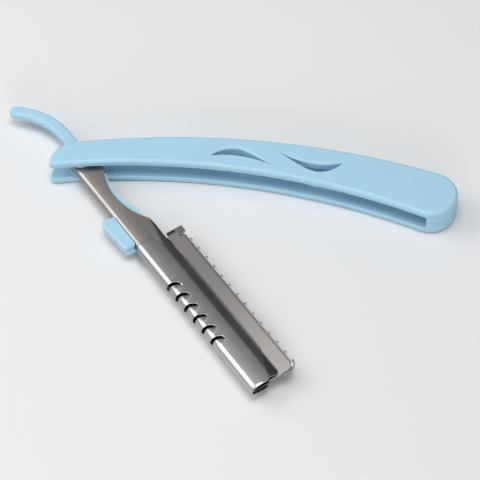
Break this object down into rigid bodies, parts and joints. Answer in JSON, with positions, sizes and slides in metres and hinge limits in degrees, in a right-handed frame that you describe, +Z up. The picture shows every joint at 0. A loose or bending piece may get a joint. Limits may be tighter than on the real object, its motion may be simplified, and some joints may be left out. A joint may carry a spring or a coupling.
{
  "type": "folding eyebrow razor",
  "caption": "Folding eyebrow razor: curved slotted plastic handle with leaf cut-outs, a turning steel arm with tail and thumb rest, and a clamp head that holds a slide-in guarded blade.",
  "frame": {"origin": "on the pivot's axis, on the underside of the lower scale that the razor rests on", "axes": "+X along the handle from the pivot to the far end, +Y from the handle's open front to its back, +Z up along the pivot's axis"},
  "size_m": [0.1453, 0.1119, 0.0104],
  "materials": {
    "handle_plastic": "satin moulded, light blue",
    "core_plastic": "satin moulded, light blue",
    "slide_plastic": "satin moulded, light blue",
    "arm_steel": "satin, warm grey",
    "sleeve_steel": "polished, nickel like",
    "blade_steel": "matte, ground across its width",
    "guard_steel": "polished",
    "pin_steel": "plain turned"
  },
  "bodies": {
    "handle": {"upper_scale": "handle_plastic", "lower_scale": "handle_plastic", "pivot_pin": "pin_steel"},
    "arm": {"arm_core": "core_plastic", "folded_arm": "arm_steel", "clamp_sleeve": "sleeve_steel"},
    "lock": {"lock_slide": "slide_plastic"},
    "cartridge": {"blade": "blade_steel", "comb_guard": "guard_steel"}
  },
  "joints": [
    {"name": "arm_fold", "type": "hinge", "parent": "handle", "child": "arm", "pos_m": [0, 0, 0.0052], "axis": [0, 0, 1], "range_deg": [-278, 41.3]},
    {"name": "lock_travel", "type": "slide", "parent": "arm", "child": "lock", "axis": [0.5621, -0.8271, 0], "range_m": [-0.007, 0]},
    {"name": "blade_change", "type": "slide", "parent": "arm", "child": "cartridge", "axis": [-0.5621, 0.8271, 0], "range_m": [-0.008, 0]}
  ]
}
